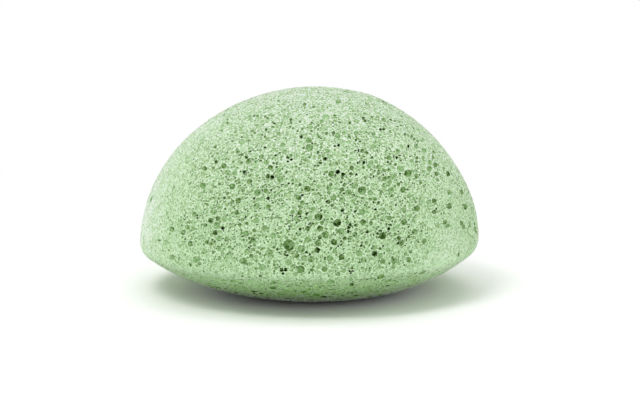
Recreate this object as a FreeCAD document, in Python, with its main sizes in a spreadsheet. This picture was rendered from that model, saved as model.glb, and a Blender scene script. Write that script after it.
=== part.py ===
"""Konjac facial sponge: one moulded half ball of open-cell plant-fibre foam.

The frame has +Z up and its origin at the middle of the pressed foot, on the surface that the sponge lies on.
The blank is a turned profile of lines and arcs: a pressed foot, a bellied underside, a rounded rim, a
shoulder and a crown. The largest open cells are then cut into it as round pits, wider inside than at their
mouths.
"""

import FreeCAD
import Part
import Sketcher
import math
import os
import random
from collections import namedtuple

DIMENSIONS = {
    # outside of the foam, in mm
    "rim_diameter": 80.0,
    "dome_rise": 36.0,
    "widest_height": 12.0,
    "rim_round": 3.4,
    "foot_diameter": 22.0,
    # where the shoulder turns into the crown: how far the skin leans there, in degrees from upright
    "shoulder_lean": 30.0,
    # open cells: their mouths on the skin and the foam left between two of them, in mm
    "largest_bore": 2.4,
    "smallest_bore": 1.1,
    "cell_wall": 0.5,
    # how far a cell's middle lies under the skin, as a share of the cell's radius
    "sink_share": 0.4,
    # places tried for cells round the dome and round the underside
    "dome_cells": 200,
    "belly_cells": 50,
}

# The largest cells of the front face: how far across from the middle, as a share of the rim's radius, how far
# up, as a share of the whole height, and the mouth, as a share of the largest bore
FRONT_CELL_SHARES = (
    (-0.11, 0.37, 1.00),
    (-0.04, 0.35, 0.60),
    (0.05, 0.50, 0.70),
    (0.16, 0.47, 0.70),
    (0.41, 0.40, 0.72),
    (0.09, 0.42, 0.64),
    (0.18, 0.42, 0.60),
    (-0.05, 0.26, 0.70),
    (-0.14, 0.26, 0.64),
    (-0.36, 0.29, 0.66),
    (0.29, 0.61, 0.66),
    (-0.02, 0.62, 0.60),
    (-0.23, 0.67, 0.54),
    (0.11, 0.68, 0.52),
    (-0.01, 0.79, 0.68),
    (-0.13, 0.75, 0.56),
    (-0.30, 0.60, 0.64),
    (0.55, 0.66, 0.66),
    (0.52, 0.59, 0.50),
    (0.60, 0.50, 0.52),
    (0.29, 0.50, 0.60),
    (0.37, 0.32, 0.52),
    (-0.22, 0.33, 0.60),
    (-0.71, 0.39, 0.52),
    (-0.53, 0.40, 0.48),
    (-0.49, 0.70, 0.52),
    (-0.61, 0.60, 0.58),
    (-0.07, 0.57, 0.52),
    (0.88, 0.53, 0.50),
    (0.40, 0.89, 0.54),
    (0.02, 0.31, 0.58),
    (0.51, 0.34, 0.50),
    (-0.40, 0.55, 0.50),
    (0.07, 0.91, 0.58),
)

# The other cells go round by the golden angle, each moved by a draw with this seed; most are small, and a
# power of an even draw makes the large ones rare
GOLDEN_TURN = math.pi * (3 - math.sqrt(5))
SCATTER_SEED = 11
RARE_POWER = 3

# An arc of the profile: its centre's distance from the axis and height, its radius, and the lean of the
# skin's normal, upwards from level, at its lower and its upper end
Arc = namedtuple("Arc", "out up radius low high")


def make_sheet(doc):
    """The spreadsheet of driving dimensions, one named cell to a row."""
    sheet = doc.addObject("Spreadsheet::Sheet", "dimensions")
    for row, (name, value) in enumerate(DIMENSIONS.items(), start=1):
        sheet.set(f"A{row}", name)
        sheet.set(f"B{row}", str(value))
        sheet.setAlias(f"B{row}", name)
    doc.recompute()
    return sheet


def profile_arcs(sheet):
    """The arcs of the turned profile by name, from the foot up to the crown.

    The belly's arc is level where it leaves the edge of the foot, and touches the rim's arc. The shoulder's
    arc is upright where it leaves the rim. The crown's arc is centred on the axis, passes through the top and
    touches the shoulder's arc where both lean by the shoulder's lean.
    """
    half = sheet.rim_diameter / 2
    foot = sheet.foot_diameter / 2
    rim, wide, rise = sheet.rim_round, sheet.widest_height, sheet.dome_rise
    # two arcs that touch have their centres on the normal there, the difference of their radii apart
    reach = half - rim - foot
    belly = (reach**2 + wide**2 - rim**2) / 2 / (wide - rim)
    belly_end = math.atan2(wide - belly, reach)
    lean = math.radians(sheet.shoulder_lean)
    level, steep = math.cos(lean), math.sin(lean)
    crown = (half * steep - rise * (1 - level)) / (steep + level - 1)
    shoulder = (half - crown * level) / (1 - level)
    return {
        "belly": Arc(foot, belly, belly, -math.pi / 2, belly_end),
        "rim": Arc(half - rim, wide, rim, belly_end, 0),
        "shoulder": Arc(half - shoulder, wide, shoulder, 0, lean),
        "crown": Arc(0, wide + rise - crown, crown, lean, math.pi / 2),
    }


def make_blank(doc, sheet, arcs):
    """The foam before its cells: the closed half profile, turned once round the upright axis."""
    body = doc.addObject("PartDesign::Body", "foam_blank")
    plane = next(feature for feature in body.Origin.OriginFeatures if feature.Role == "XZ_Plane")
    sketch = body.newObject("Sketcher::SketchObject", "half_profile")
    sketch.AttachmentSupport = [(plane, "")]
    sketch.MapMode = "FlatFace"

    top = FreeCAD.Vector(0, sheet.widest_height + sheet.dome_rise)
    bottom = FreeCAD.Vector(0, 0)
    foot_edge = FreeCAD.Vector(sheet.foot_diameter / 2, 0)
    axis = sketch.addGeometry(Part.LineSegment(top, bottom))
    foot = sketch.addGeometry(Part.LineSegment(bottom, foot_edge))
    drawn = []
    for arc in arcs.values():
        circle = Part.Circle(FreeCAD.Vector(arc.out, arc.up), FreeCAD.Vector(0, 0, 1), arc.radius)
        drawn.append(sketch.addGeometry(Part.ArcOfCircle(circle, arc.low, arc.high)))
    belly, rim, shoulder, crown = drawn

    origin, upright = -1, -2
    start, end, middle = 1, 2, 3
    for rule in (
        ("Coincident", foot, start, origin, start),
        ("Coincident", axis, end, foot, start),
        ("PointOnObject", axis, start, upright),
        ("Horizontal", foot),
        ("Tangent", foot, end, belly, start),
        ("Tangent", belly, end, rim, start),
        ("Tangent", rim, end, shoulder, start),
        ("Tangent", shoulder, end, crown, start),
        ("Coincident", crown, end, axis, start),
        ("PointOnObject", crown, middle, upright),
        ("Horizontal", rim, middle, shoulder, middle),
    ):
        sketch.addConstraint(Sketcher.Constraint(*rule))
    for name, value, size, rule in (
        ("foot", sheet.foot_diameter / 2, "foot_diameter / 2", ("DistanceX", foot, start, foot, end)),
        ("half_width", sheet.rim_diameter / 2, "rim_diameter / 2", ("DistanceX", origin, start, rim, end)),
        ("widest", sheet.widest_height, "widest_height", ("DistanceY", origin, start, rim, middle)),
        ("rise", sheet.dome_rise, "dome_rise", ("DistanceY", rim, end, crown, end)),
        ("rim", sheet.rim_round, "rim_round", ("Radius", rim)),
        ("shoulder", arcs["shoulder"].high, "shoulder_lean * 1 deg", ("Angle", shoulder)),
    ):
        number = sketch.addConstraint(Sketcher.Constraint(*rule, value))
        sketch.renameConstraint(number, name)
        sketch.setExpression(f"Constraints.{name}", f"<<dimensions>>.{size}")
    doc.recompute()

    turned = body.newObject("PartDesign::Revolution", "turned_foam")
    turned.Profile = sketch
    turned.ReferenceAxis = (sketch, ["V_Axis"])
    turned.Angle = 360
    doc.recompute()
    return body


def on_skin(arcs, lean):
    """(distance from the axis, height) of the skin where its normal leans up by the angle lean."""
    arc = next(arc for arc in arcs.values() if arc.low <= lean <= arc.high)
    return arc.out + arc.radius * math.cos(lean), arc.up + arc.radius * math.sin(lean)


def lean_at_height(arcs, height):
    """The upward lean of the normal of the shoulder or the crown at a height above the rim."""
    shoulder, crown = arcs["shoulder"], arcs["crown"]
    arc = crown if height > on_skin(arcs, crown.low)[1] else shoulder
    return math.asin((height - arc.up) / arc.radius)


def front_places(sheet, arcs):
    """(turn round the axis, lean, bore) of the hand-placed cells; the front faces -Y."""
    whole = sheet.widest_height + sheet.dome_rise
    for across_share, up_share, bore_share in FRONT_CELL_SHARES:
        lean = lean_at_height(arcs, max(up_share * whole, sheet.widest_height))
        out, _ = on_skin(arcs, lean)
        side = max(-1, min(1, across_share * sheet.rim_diameter / 2 / out))
        yield math.asin(side) - math.pi / 2, lean, bore_share * sheet.largest_bore


def scattered_places(sheet, arcs):
    """(turn, lean, bore) of cells scattered at even area over the dome and then the underside."""
    draw = random.Random(SCATTER_SEED).random
    spread = sheet.largest_bore - sheet.smallest_bore
    belly = arcs["belly"]
    foot, edge = (on_skin(arcs, lean)[0] for lean in (belly.low, belly.high))
    for count, on_dome in ((int(sheet.dome_cells), True), (int(sheet.belly_cells), False)):
        for number in range(count):
            turn = number * GOLDEN_TURN + draw()
            share = (number + draw()) / count
            rare = draw() ** RARE_POWER
            if on_dome:
                lean = math.asin(share)
            else:
                out = math.sqrt(foot**2 + share * (edge**2 - foot**2))
                lean = -math.acos((out - belly.out) / belly.radius)
            yield turn, lean, sheet.smallest_bore + rare * spread


def make_cells(doc, sheet, arcs):
    """The open cells as balls sunk under the skin, each kept a wall's thickness from those already placed.

    A ball is turned so that its seam lies at its back, away from its mouth.
    """
    balls, placed = [], []
    foot = sheet.foot_diameter / 2
    upright = FreeCAD.Vector(0, 0, 1)
    for turn, lean, bore in (*front_places(sheet, arcs), *scattered_places(sheet, arcs)):
        radius = bore / 2 / math.sqrt(1 - sheet.sink_share**2)
        out, up = on_skin(arcs, lean)
        level, steep = math.cos(lean), math.sin(lean)
        normal = FreeCAD.Vector(level * math.cos(turn), level * math.sin(turn), steep)
        mouth = FreeCAD.Vector(out * math.cos(turn), out * math.sin(turn), up)
        centre = mouth - normal * radius * sheet.sink_share
        clear_of_foot = lean > 0 or out - radius - sheet.cell_wall > foot
        apart = all((centre - other).Length > radius + reach + sheet.cell_wall for other, reach in placed)
        if clear_of_foot and apart:
            placed.append((centre, radius))
            ball = Part.makeSphere(radius)
            seam_back = FreeCAD.Rotation(-normal, FreeCAD.Vector(), upright, "XZY")
            ball.Placement = FreeCAD.Placement(centre, seam_back)
            balls.append(ball)
    cells = doc.addObject("Part::Feature", "open_cells")
    cells.Shape = Part.makeCompound(balls)
    print(f"{len(balls)} open cells")
    return cells


def check(doc, piece):
    """Stops the build if any object failed, or the piece isn't one sound solid."""
    for made in doc.Objects:
        if {"Invalid", "Error"} & set(made.State):
            raise RuntimeError(f"{made.Label} failed: {made.State}")
    if piece.Shape.isNull() or not piece.Shape.isValid() or len(piece.Shape.Solids) != 1:
        raise RuntimeError(f"{piece.Label} isn't one sound solid")


def main():
    doc = FreeCAD.newDocument("konjac_sponge")
    sheet = make_sheet(doc)
    arcs = profile_arcs(sheet)
    blank = make_blank(doc, sheet, arcs)
    cells = make_cells(doc, sheet, arcs)
    sponge = doc.addObject("Part::Cut", "sponge_body")
    sponge.Base = blank
    sponge.Tool = cells
    sponge.Placement = FreeCAD.Placement()
    doc.recompute()
    check(doc, sponge)
    os.makedirs("parts", exist_ok=True)
    sponge.Shape.exportStep(f"parts/{sponge.Label}.step")
    print(f"{sponge.Label}: {sponge.Shape.Volume:.0f} cubic mm")


main()
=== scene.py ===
"""Konjac facial sponge: a moist green half ball of open-cell foam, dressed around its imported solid.

The foam is one closed skin. A lattice of points on a ball is carried onto the turned profile that the
solid has, the form is settled as the photographed one lies, and the open cells are pressed into it as
round hollows.
"""

import math
import random

import bpy
import numpy as np
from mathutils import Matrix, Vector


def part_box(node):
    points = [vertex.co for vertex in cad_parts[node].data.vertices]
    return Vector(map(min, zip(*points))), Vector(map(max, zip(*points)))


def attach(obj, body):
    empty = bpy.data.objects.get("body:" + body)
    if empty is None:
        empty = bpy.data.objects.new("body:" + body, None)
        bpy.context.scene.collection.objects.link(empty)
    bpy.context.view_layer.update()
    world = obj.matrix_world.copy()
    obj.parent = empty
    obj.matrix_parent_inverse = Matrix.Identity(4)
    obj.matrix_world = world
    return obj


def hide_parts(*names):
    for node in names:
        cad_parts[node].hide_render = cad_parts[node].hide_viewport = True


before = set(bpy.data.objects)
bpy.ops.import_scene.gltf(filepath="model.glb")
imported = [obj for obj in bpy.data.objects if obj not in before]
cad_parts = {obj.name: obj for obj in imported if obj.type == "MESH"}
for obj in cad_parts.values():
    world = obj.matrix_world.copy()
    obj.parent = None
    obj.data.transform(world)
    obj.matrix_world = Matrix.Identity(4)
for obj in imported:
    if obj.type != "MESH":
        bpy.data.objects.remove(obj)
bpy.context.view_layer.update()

# Sizes of the foam, in metres, as in the part's source; the width and the height come from the frame
SOLID_LOW, SOLID_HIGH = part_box("sponge_body")
RIM_RADIUS = (SOLID_HIGH.x - SOLID_LOW.x) / 2
HEIGHT = SOLID_HIGH.z
WIDEST_HEIGHT = 0.0120
RIM_ROUND = 0.0034
FOOT_RADIUS = 0.0110
SHOULDER_LEAN = math.radians(30)

# How the photographed sponge differs from a true turned form, in metres: its crown leans to the right, its
# rim is tilted up there and its belly hangs lower, its left flank is flatter, its skin is slightly lumpy,
# and a bump stands on its right shoulder
CROWN_LEAN = 0.0016
RIM_TILT = 0.0004
BELLY_HANG = 0.0003
FLANK_FLAT = 0.0004
LUMP_HEIGHT = 0.00015
SHOULDER_BUMP = 0.0004
SHOULDER_BUMP_WIDTH = 0.005
SHOULDER_BUMP_ACROSS = RIM_RADIUS / 3

# The shares of the height over which each of those grows and fades; the hang of the belly grows outwards
# instead, over shares of the rim's radius
TILT_GROWS, TILT_FADES = (0.03, 0.2), (0.3, 0.7)
HANG_GROWS, HANG_FADES = (0.3, 0.6), (0.12, 0.35)
LUMPS_GROW, LUMPS_FADE = (0.03, 0.3), (0.9, 1.0)
BUMP_GROWS = (0.5, 0.8)
FLANK_MIDDLE, FLANK_SPREAD = 0.52, 0.22

# The waves that make the lumps: (how many go round, how far one turns up to the crown, where it starts)
LUMP_WAVES = ((2, 0, 0.7), (3, -5, 2.1), (5, 7, 0))

# Leans of the skin's normal, in radians above level: the ridge round the rim and how far it spreads, the
# dome's last and the belly's first, and where the cells of the solid's belly begin
RIDGE_LEAN, RIDGE_SPREAD = -0.50, 0.50
UNDERSIDE_LEANS = (-0.6, -1.3)
BELLY_CELLS_LEAN = math.radians(-53)

# The lattice that the skin is drawn on: steps along each edge of a cube, how thick its points lie on the
# underside where they lie at 1 on the dome, and the leans between which that changes
LATTICE_STEPS = 380
BELLY_WEIGHT = 0.55
BELLY_WEIGHT_LEANS = (-1.0, 0.0)

# The photograph's frame and the camera that took it: the pixel where the middle of the sponge lies, the
# pixels that a metre covers there, how far off the camera stands and how far above level
PHOTO_WIDTH_PX, PHOTO_HEIGHT_PX = 640, 420
SPONGE_MIDDLE_PX = (307.7, 188.7)
PX_PER_METRE = 4234
CAMERA_DISTANCE = 0.700
CAMERA_RISE = math.radians(9.4)
SENSOR_WIDTH_MM = 36
NEAREST_SEEN = 0.01
TO_CAMERA = np.array([0, -math.cos(CAMERA_RISE), math.sin(CAMERA_RISE)])

# The cells that stand out on the photographed side, listed: the middle of the mouth and its width,
# in pixels, and how deep and dark the hollow is, from 0 to 1
PHOTO_CELLS_PX = (
    (288.8, 245.3, 10.4, 0.72), (301.0, 249.1, 6.6, 0.55), (318.4, 216.9, 7.0, 0.80),
    (337.3, 223.1, 6.7, 0.84), (382.7, 235.5, 6.8, 0.78), (325.3, 234.6, 6.5, 0.55),
    (341.3, 231.1, 6.0, 0.55), (300.5, 269.4, 6.8, 0.68), (281.6, 269.5, 3.4, 0.92),
    (285.0, 269.6, 3.2, 1.00), (283.1, 273.6, 2.4, 1.00), (243.1, 261.0, 6.5, 0.55),
    (362.3, 190.4, 7.3, 0.69), (307.4, 188.7, 6.0, 0.65), (268.6, 176.8, 4.6, 0.88),
    (271.5, 177.0, 4.4, 0.92), (331.0, 174.3, 5.2, 0.72), (309.5, 147.8, 7.0, 0.56),
    (308.8, 140.4, 5.0, 0.60), (287.9, 157.4, 3.0, 1.00), (291.1, 159.2, 2.6, 0.92),
    (291.0, 155.8, 3.6, 0.58), (257.5, 192.6, 6.2, 0.50), (407.9, 173.5, 6.8, 0.66),
    (400.4, 169.1, 6.0, 0.40), (402.7, 189.9, 5.3, 0.78), (416.5, 208.5, 5.4, 0.67),
    (362.0, 212.0, 5.8, 0.55), (374.8, 253.6, 5.3, 0.84), (268.9, 252.7, 6.3, 0.50),
    (183.4, 232.1, 4.8, 0.66), (215.0, 232.6, 4.6, 0.80), (224.1, 165.7, 5.0, 0.72),
    (202.9, 185.8, 5.7, 0.62), (298.2, 197.9, 4.8, 0.74), (461.9, 192.1, 5.5, 0.69),
    (383.6, 119.5, 4.8, 0.60), (311.3, 259.4, 5.8, 0.60), (401.6, 243.0, 5.0, 0.69),
    (238.5, 200.8, 5.2, 0.74), (325.8, 117.5, 6.6, 0.28), (241.4, 141.6, 5.5, 0.35),
    (278.4, 133.3, 4.0, 0.50), (301.0, 136.4, 3.2, 0.80), (265.2, 147.7, 2.5, 0.90),
    (237.9, 151.9, 3.5, 0.50), (246.5, 157.1, 3.0, 0.70), (248.2, 161.7, 4.5, 0.70),
    (261.4, 156.5, 4.5, 0.60), (260.9, 160.9, 2.2, 0.90), (266.6, 162.5, 4.6, 0.40),
    (270.0, 167.2, 4.3, 0.75), (284.4, 152.1, 4.5, 0.35), (227.6, 172.6, 5.5, 0.40),
    (215.9, 161.7, 3.0, 0.80), (235.0, 173.2, 4.5, 0.55), (244.2, 172.0, 2.8, 0.95),
    (204.6, 168.6, 4.5, 0.64), (279.8, 179.7, 6.0, 0.50), (249.4, 181.5, 5.0, 0.70),
    (232.5, 186.1, 5.3, 0.65), (227.6, 122.6, 2.5, 0.60), (278.7, 100.8, 3.0, 0.50),
    (265.5, 116.3, 2.6, 0.60), (251.7, 130.9, 3.0, 0.55), (272.9, 126.9, 2.5, 0.60),
    (219.5, 184.1, 2.5, 0.80), (243.1, 190.4, 3.5, 0.60), (299.9, 184.6, 2.8, 0.90),
    (282.7, 144.5, 4.5, 0.40), (337.7, 135.6, 5.0, 0.50), (344.8, 133.0, 4.0, 0.40),
    (338.5, 101.4, 5.4, 0.35), (367.7, 104.3, 5.0, 0.40), (372.4, 100.0, 4.4, 0.30),
    (378.1, 116.9, 3.3, 0.50), (383.8, 129.0, 3.0, 0.80), (356.3, 133.0, 4.0, 0.50),
    (373.5, 134.1, 4.0, 0.45), (401.6, 116.3, 3.0, 0.50), (418.2, 130.1, 4.4, 0.30),
    (372.9, 146.7, 5.0, 0.40), (362.0, 150.8, 4.0, 0.65), (366.6, 152.8, 2.6, 0.80),
    (327.6, 150.8, 4.5, 0.55), (324.8, 158.5, 3.4, 0.90), (323.2, 155.4, 3.0, 0.45),
    (338.5, 145.3, 2.5, 0.95), (334.8, 145.6, 2.0, 0.90), (320.1, 162.8, 2.5, 0.90),
    (318.1, 152.5, 2.2, 0.85), (363.7, 162.2, 2.5, 0.90), (371.2, 162.8, 4.5, 0.40),
    (372.3, 157.7, 2.4, 0.85), (389.0, 157.7, 4.5, 0.60), (397.0, 157.4, 2.8, 0.85),
    (388.2, 161.8, 2.2, 0.90), (397.6, 151.0, 4.0, 0.50), (408.8, 146.2, 2.5, 0.90),
    (416.5, 146.7, 4.5, 0.45), (424.0, 150.5, 5.0, 0.50), (433.7, 151.9, 4.0, 0.50),
    (416.5, 176.0, 4.8, 0.52), (429.7, 162.2, 4.5, 0.50), (435.5, 164.8, 4.3, 0.66),
    (429.1, 168.6, 5.0, 0.56), (436.6, 173.7, 4.8, 0.62), (448.1, 173.7, 5.2, 0.76),
    (378.6, 166.8, 5.0, 0.45), (351.7, 167.8, 4.0, 0.75), (337.7, 172.0, 3.5, 1.00),
    (343.0, 174.4, 3.6, 0.85), (342.7, 178.3, 2.3, 1.00), (351.1, 173.7, 3.0, 0.85),
    (393.6, 176.0, 5.0, 0.45), (385.0, 178.9, 4.5, 0.55), (390.1, 182.0, 4.3, 0.50),
    (384.4, 185.8, 5.6, 0.40), (354.5, 185.4, 6.3, 0.50), (370.6, 192.7, 5.0, 0.40),
    (348.2, 192.3, 5.5, 0.55), (341.9, 189.8, 4.0, 0.70), (331.0, 184.2, 3.0, 0.85),
    (328.7, 188.0, 4.3, 0.60), (344.2, 184.8, 3.2, 0.80), (391.3, 190.6, 5.5, 0.50),
    (449.2, 192.7, 4.8, 0.52), (437.8, 179.9, 3.0, 0.60), (420.5, 182.3, 3.2, 0.60),
    (423.4, 186.4, 3.0, 0.60), (266.6, 190.6, 4.5, 0.55), (267.8, 198.2, 3.2, 1.00),
    (256.3, 206.2, 5.5, 0.50), (268.3, 206.8, 4.0, 0.60), (231.9, 202.2, 3.7, 0.78),
    (227.6, 193.3, 3.0, 0.70), (236.8, 212.6, 4.5, 0.70), (215.0, 212.0, 4.8, 0.45),
    (210.4, 220.4, 4.6, 0.80), (217.8, 218.3, 3.8, 0.81), (224.7, 218.9, 5.4, 0.40),
    (205.2, 225.4, 3.8, 0.74), (216.6, 225.4, 6.2, 0.50), (222.4, 228.0, 3.2, 0.95),
    (194.3, 214.3, 4.5, 0.57), (189.7, 221.7, 3.4, 0.50), (187.4, 227.6, 4.6, 0.55),
    (193.1, 228.4, 3.8, 0.50), (171.9, 229.2, 5.0, 0.58), (165.6, 242.4, 5.3, 0.30),
    (159.3, 240.1, 2.0, 0.70), (190.3, 244.1, 4.7, 0.67), (207.3, 242.2, 3.8, 0.66),
    (212.0, 240.8, 3.2, 0.72), (211.2, 244.1, 3.0, 0.72), (214.2, 241.7, 2.0, 0.90),
    (219.0, 238.6, 5.3, 0.40), (226.4, 239.5, 4.2, 0.66), (204.6, 251.6, 4.7, 0.40),
    (212.7, 252.2, 3.3, 0.60), (171.9, 257.3, 5.0, 0.45), (190.3, 264.8, 3.7, 0.70),
    (196.6, 259.6, 6.6, 0.41), (228.7, 255.6, 5.8, 0.40), (247.3, 251.7, 5.3, 0.45),
    (251.3, 255.9, 3.6, 0.70), (245.9, 233.8, 5.4, 0.60), (252.6, 240.1, 5.6, 0.60),
    (256.3, 220.6, 5.5, 0.50), (264.3, 228.0, 5.5, 0.50), (254.6, 230.3, 3.6, 0.60),
    (272.9, 235.3, 4.8, 0.50), (239.6, 224.6, 3.5, 0.65), (296.3, 255.5, 4.3, 0.70),
    (307.7, 239.9, 5.2, 0.55), (307.4, 228.5, 4.6, 0.78), (302.8, 202.6, 4.2, 0.65),
    (300.5, 207.2, 4.0, 0.60), (300.2, 212.6, 4.6, 0.75), (292.1, 212.6, 3.8, 0.60),
    (296.4, 219.0, 4.0, 0.60), (306.8, 213.4, 3.2, 0.78), (295.5, 273.9, 4.2, 0.50),
    (288.4, 262.3, 5.6, 0.45), (304.2, 258.0, 5.0, 0.50), (262.6, 267.7, 6.4, 0.40),
    (260.6, 276.3, 3.2, 0.80), (287.8, 286.6, 2.6, 0.80), (295.3, 290.4, 2.0, 0.90),
    (224.7, 280.3, 4.5, 0.50), (219.0, 258.5, 3.4, 0.55), (333.9, 197.9, 5.3, 0.60),
    (341.9, 199.9, 5.5, 0.50), (327.6, 202.2, 3.3, 0.95), (342.2, 210.3, 2.8, 0.95),
    (363.1, 222.0, 5.5, 0.70), (371.2, 223.1, 3.8, 0.60), (356.0, 225.2, 3.2, 0.85),
    (349.9, 224.4, 2.4, 1.00), (348.8, 227.4, 3.0, 0.95), (348.0, 231.6, 2.5, 0.98),
    (354.9, 234.1, 4.5, 0.60), (366.9, 231.8, 3.2, 0.95), (319.5, 228.9, 5.3, 0.75),
    (318.4, 242.7, 5.6, 0.60), (334.2, 242.2, 5.3, 0.78), (344.8, 238.2, 3.6, 0.80),
    (317.4, 250.4, 4.8, 0.88), (334.7, 251.4, 4.4, 0.50), (341.5, 257.3, 5.0, 0.70),
    (330.1, 258.6, 5.8, 0.55), (324.1, 269.4, 5.0, 0.65), (311.5, 269.6, 2.6, 0.90),
    (380.4, 230.9, 2.5, 0.98), (378.0, 233.4, 2.2, 0.95), (390.4, 224.8, 2.6, 0.95),
    (389.0, 228.8, 3.2, 0.95), (389.3, 218.1, 4.5, 0.60), (403.9, 222.3, 5.5, 0.61),
    (404.2, 210.3, 5.0, 0.45), (414.8, 232.1, 5.6, 0.54), (398.9, 238.5, 3.8, 0.82),
    (374.6, 247.4, 4.5, 0.65), (380.4, 255.8, 4.8, 0.45), (382.9, 261.2, 5.2, 0.60),
    (394.1, 260.8, 5.3, 0.57), (388.4, 249.9, 4.5, 0.45), (408.3, 259.6, 4.8, 0.68),
    (410.8, 251.6, 3.2, 0.60), (359.1, 253.3, 5.8, 0.50), (363.7, 260.2, 5.6, 0.40),
    (351.9, 267.4, 2.4, 0.86), (349.6, 270.9, 1.8, 0.95), (352.4, 271.2, 1.7, 0.90),
    (344.2, 270.5, 4.0, 0.45), (380.8, 277.2, 7.5, 0.66), (371.0, 278.4, 4.0, 0.60),
    (434.3, 201.1, 4.7, 0.71), (449.2, 206.2, 5.4, 0.74), (465.3, 206.8, 5.4, 0.74),
    (434.3, 212.0, 4.2, 0.76), (444.8, 222.0, 4.2, 0.64), (447.5, 225.9, 4.2, 0.62),
    (461.2, 223.2, 4.2, 0.62), (463.6, 227.2, 4.2, 0.64), (458.4, 254.5, 4.2, 0.68),
    (472.2, 236.7, 3.0, 0.55), (330.4, 289.5, 3.0, 0.85), (323.5, 286.0, 4.8, 0.55),
    (351.1, 279.7, 4.0, 0.50), (337.9, 274.0, 4.0, 0.55), (392.4, 195.8, 3.0, 0.65),
    (375.2, 199.0, 3.5, 0.65), (378.1, 202.8, 2.7, 0.75), (370.6, 199.3, 2.4, 0.80),
    (362.6, 198.1, 2.4, 0.75), (318.9, 193.6, 2.3, 0.90), (313.8, 202.4, 2.3, 0.85),
    (382.7, 218.9, 5.0, 0.50), (424.0, 241.3, 4.8, 0.56), (312.9, 208.8, 3.6, 0.60),
    (332.3, 205.4, 3.0, 0.74), (322.3, 223.0, 3.3, 0.74), (331.8, 218.8, 2.1, 0.88),
    (319.8, 237.4, 3.3, 0.84), (294.2, 238.8, 2.3, 0.78), (277.2, 249.4, 2.5, 0.84),
    (274.0, 247.2, 2.1, 0.80), (352.5, 201.3, 3.6, 0.46), (358.2, 241.5, 2.2, 0.65),
    (372.0, 248.6, 2.2, 0.85), (379.8, 248.2, 2.6, 0.80), (400.4, 220.3, 2.0, 0.80),
    (397.7, 243.0, 2.3, 0.90), (408.3, 236.8, 2.7, 0.74), (408.5, 232.7, 2.4, 0.55),
    (418.5, 241.8, 2.4, 0.60), (435.5, 203.5, 2.6, 0.65), (436.1, 208.9, 2.3, 0.80),
    (441.3, 213.2, 1.8, 0.78), (444.0, 212.9, 1.8, 0.70), (410.0, 216.0, 3.5, 0.45),
    (428.0, 202.5, 4.5, 0.35), (462.3, 205.0, 2.0, 0.80), (224.2, 197.9, 2.6, 0.83),
    (229.2, 197.5, 2.4, 0.62), (203.5, 191.5, 3.4, 0.55), (211.3, 191.5, 3.0, 0.60),
    (207.5, 204.6, 2.7, 0.66), (204.8, 209.8, 2.0, 0.70), (196.8, 215.5, 2.3, 0.83),
    (236.0, 181.5, 2.4, 0.60), (238.5, 179.7, 2.4, 0.65), (265.5, 184.4, 1.8, 0.88),
    (254.0, 201.8, 2.0, 0.80), (246.4, 223.0, 2.5, 0.78), (230.3, 224.3, 2.4, 0.70),
    (241.2, 229.8, 2.4, 0.60), (257.0, 223.8, 2.3, 0.70), (261.0, 231.8, 2.0, 0.80),
    (268.2, 231.3, 2.2, 0.70), (275.0, 195.8, 2.6, 0.65), (251.8, 190.8, 2.2, 0.65),
    (312.3, 143.1, 2.2, 0.76), (273.5, 163.3, 2.1, 0.76), (276.9, 163.6, 2.0, 0.74),
    (292.4, 179.6, 2.4, 0.62), (314.4, 180.9, 2.4, 0.76), (312.1, 184.6, 2.6, 0.66),
    (313.1, 189.6, 2.4, 0.76), (282.0, 190.6, 2.4, 0.76), (326.3, 172.0, 3.0, 0.55),
    (323.0, 182.0, 2.4, 0.60), (256.5, 175.7, 3.0, 0.50), (249.5, 175.4, 3.0, 0.56),
    (242.0, 154.6, 2.6, 0.55), (251.5, 170.1, 3.0, 0.50), (317.8, 134.7, 2.4, 0.56),
    (319.3, 136.9, 2.0, 0.60), (321.2, 144.2, 2.6, 0.50), (321.0, 147.3, 2.6, 0.56),
    (305.1, 160.0, 3.2, 0.50), (318.0, 165.7, 2.4, 0.66), (296.2, 166.8, 3.0, 0.46),
    (359.2, 150.6, 2.2, 0.76), (390.4, 163.6, 2.0, 0.72), (395.3, 164.4, 3.0, 0.60),
    (389.3, 169.5, 3.2, 0.60), (398.3, 184.0, 3.2, 0.65), (394.8, 186.1, 2.4, 0.60),
    (411.3, 161.0, 3.0, 0.50), (416.8, 157.7, 2.6, 0.60), (423.4, 157.8, 2.6, 0.60),
    (416.5, 162.0, 2.8, 0.56), (433.1, 157.0, 3.0, 0.65), (404.9, 134.3, 2.4, 0.60),
    (408.1, 135.4, 2.4, 0.60), (411.9, 136.2, 2.4, 0.70), (413.7, 139.0, 2.4, 0.60),
    (417.9, 141.2, 3.0, 0.56), (443.6, 168.3, 3.2, 0.52), (363.3, 167.5, 2.8, 0.60),
    (378.3, 174.0, 2.6, 0.60), (371.4, 174.3, 2.4, 0.60), (365.3, 177.3, 2.8, 0.60),
    (350.2, 181.0, 3.6, 0.46), (335.0, 175.4, 2.2, 0.95), (351.2, 159.5, 3.6, 0.42),
    (246.1, 236.2, 2.8, 0.90), (249.1, 238.2, 2.4, 0.90), (249.7, 242.3, 2.4, 0.76),
    (243.6, 240.3, 2.8, 0.62), (254.3, 244.8, 2.8, 0.65), (253.3, 249.3, 2.8, 0.70),
    (257.6, 251.9, 2.4, 0.76), (260.0, 253.6, 2.2, 0.70), (245.4, 246.0, 2.6, 0.50),
    (256.2, 268.3, 3.4, 0.56), (275.9, 268.0, 3.4, 0.50), (274.7, 261.6, 3.0, 0.60),
    (268.6, 262.0, 2.6, 0.60), (255.9, 261.0, 2.6, 0.56), (199.5, 263.6, 3.2, 0.56),
    (242.0, 276.0, 2.6, 0.76), (204.2, 272.0, 2.8, 0.56), (216.1, 272.2, 2.8, 0.56),
    (248.8, 277.2, 3.0, 0.50), (269.5, 284.5, 3.4, 0.46), (325.5, 258.5, 2.4, 0.70),
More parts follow.
